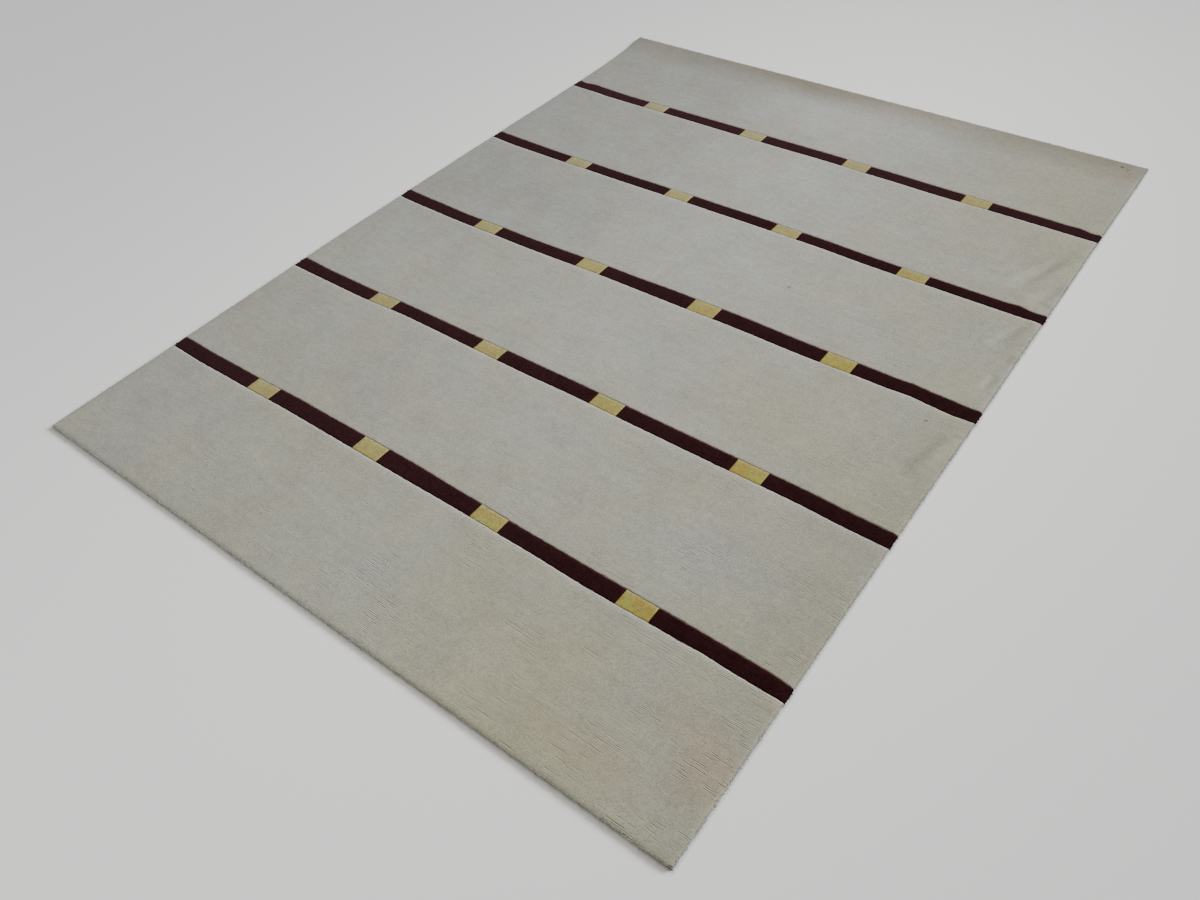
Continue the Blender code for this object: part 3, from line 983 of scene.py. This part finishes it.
def edge_places(v_low, v_high, side, spacing, inset):
    """Points beside the left (-1) or right (1) edge, and the way out from the rug there."""
    count = max(2, round((v_high - v_low) / spacing))
    v = v_low + (np.arange(count) + 0.5) * (v_high - v_low) / count
    u = np.full(count, side * (WIDTH / 2 - inset))
    x, y = lay(u, v)
    ahead_x, ahead_y = lay(u, v + MM)
    along = np.stack([ahead_x - x, ahead_y - y, 0 * x], axis=1)
    along /= np.linalg.norm(along, axis=1)[:, None]
    out = np.stack([side * along[:, 1], -side * along[:, 0], 0 * x], axis=1)
    return np.stack([x, y, lift(x, y)], axis=1), out, along


def end_places(side, spacing, inset):
    """Points beside the front (-1) or back (1) edge, and the way out from the rug there."""
    count = round(WIDTH / spacing)
    u = -WIDTH / 2 + (np.arange(count) + 0.5) * WIDTH / count
    x, y = lay(u, np.full(count, side * (LENGTH / 2 - inset)))
    out = np.zeros((count, 3))
    out[:, 1] = side
    return np.stack([x, y, lift(x, y)], axis=1), out


def tufts(colour, edges, tree, finishes, random):
    """Two rows of yarn ends over the rug's edge, the upper row more upright."""
    places, leans = [], []
    for points, out in edges:
        for row in TUFT_ROWS:
            shift = random.normal(0, TUFT_SHIFT, points.shape)
            places.append(points - out * row.inset * MM + (0, 0, row.height * MM) + shift)
            leans.append(out + (0, 0, row.rise) + random.normal(0, LEAN_SPREAD, points.shape))
    piece = points_piece("rim_tufts_" + colour, np.concatenate(places), np.concatenate(leans))
    grown(piece, tree, TUFT_SIZE, finishes[colour + " yarn"])
    return piece


def make_edges(finishes):
    """Yarn ends over the whole rim, and the overcast cord along both long sides."""
    random = np.random.default_rng(SEED)
    tree = edge_tuft_tree()
    cream = [end_places(side, KNOT_WIDTH, TUFT_INSET) for side in (-1, 1)]
    dark = []
    for side in (-1, 1):
        for edges, spans in ((cream, field_spans()), (dark, zip(FRONTS, BACKS))):
            edges += [edge_places(*span, side, WEFT_ROW, TUFT_INSET)[:2] for span in spans]
    pieces = [
        tufts(colour, edges, tree, finishes, random)
        for colour, edges in (("cream", cream), ("burgundy", dark))
    ]
    wraps, leans = [], []
    end = LENGTH / 2 - CORD_SHORT
    for side in (-1, 1):
        points, out, along = edge_places(-end, end, side, WEFT_ROW, CORD_INSET)
        wraps.append(points + (0, 0, CORD_HEIGHT))
        leans.append(along + CORD_LEAN * out)
    piece = points_piece("overcast_edges", np.concatenate(wraps), np.concatenate(leans))
    grown(piece, overcast_tree(), WRAP_SIZE, finishes["cream yarn"])
    return [*pieces, piece]


# The studio

def make_floor():
    """A plain pale floor."""
    size = 14.0
    corners = [(-size, -size, 0), (size, -size, 0), (size, size, 0), (-size, size, 0)]
    floor = mesh_object("floor", corners, [[0, 1, 2, 3]], smooth=False)
    material, _, shader = new_material("painted floor", 0.8)
    shader.inputs["Base Color"].default_value = linear("#F8F8F6")
    shader.inputs["Specular IOR Level"].default_value = 0.1
    floor.data.materials.append(material)


def soft_light(name, place, target, width, height, watts, colour):
    """A large soft lamp that faces its target."""
    data = bpy.data.lights.new(name, "AREA")
    data.shape, data.size, data.size_y = "RECTANGLE", width, height
    data.energy = watts
    data.color = linear(colour)[:3]
    lamp = in_scene(name, data)
    lamp.location = place
    lamp.rotation_euler = (Vector(target) - Vector(place)).to_track_quat("-Z", "Y").to_euler()


def make_studio():
    """Camera at the picture's angle, a window's soft light from behind the rug, and fill."""
    make_floor()
    data = bpy.data.cameras.new("camera")
    data.lens, data.sensor_width = LENS_MM, SENSOR_MM
    camera = in_scene("camera", data)
    back = CAMERA_RIGHT.cross(CAMERA_UP)
    turn = Matrix((CAMERA_RIGHT, CAMERA_UP, back)).transposed()
    camera.matrix_world = Matrix.Translation(CAMERA_PLACE) @ turn.to_4x4()
    bpy.context.scene.camera = camera
    window = bpy.data.lights.new("window", "SUN")
    window.energy, window.angle = 3.9, math.radians(20)
    window.color = linear("#F7F8FF")[:3]
    sky = in_scene("window", window)
    sky.rotation_euler = (-Vector(TO_WINDOW)).to_track_quat("-Z", "Y").to_euler()
    soft_light("overhead", (0.2, 0.3, 1.7), (0.2, 0.3, 0), 0.6, 3.2, 25, "#FFFAF2")
    soft_light("front board", (-0.5, -2.7, 0.6), (-0.2, -1.1, 0), 3.0, 0.8, 8, "#FFFDF8")
    world = bpy.data.worlds.new("studio")
    world.use_nodes = True
    world.node_tree.nodes["Background"].inputs[0].default_value = linear("#FFFCF6")
    world.node_tree.nodes["Background"].inputs[1].default_value = 0.22
    bpy.context.scene.world = world


def main():
    finishes = {
        "cream": wool_pile(CREAM),
        "burgundy": wool_pile(BURGUNDY),
        "gold": wool_pile(GOLD),
        "cream yarn": yarn_finish("cream wool yarn, plied", CREAM),
        "burgundy yarn": yarn_finish("burgundy wool yarn, plied", BURGUNDY),
    }
    foundation = make_foundation(foundation_weave())
    pieces = [*make_pile(finishes), *make_edges(finishes)]
    for piece in (foundation, *pieces):
        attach(piece, "root")
    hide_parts("rug")
    make_studio()


main()
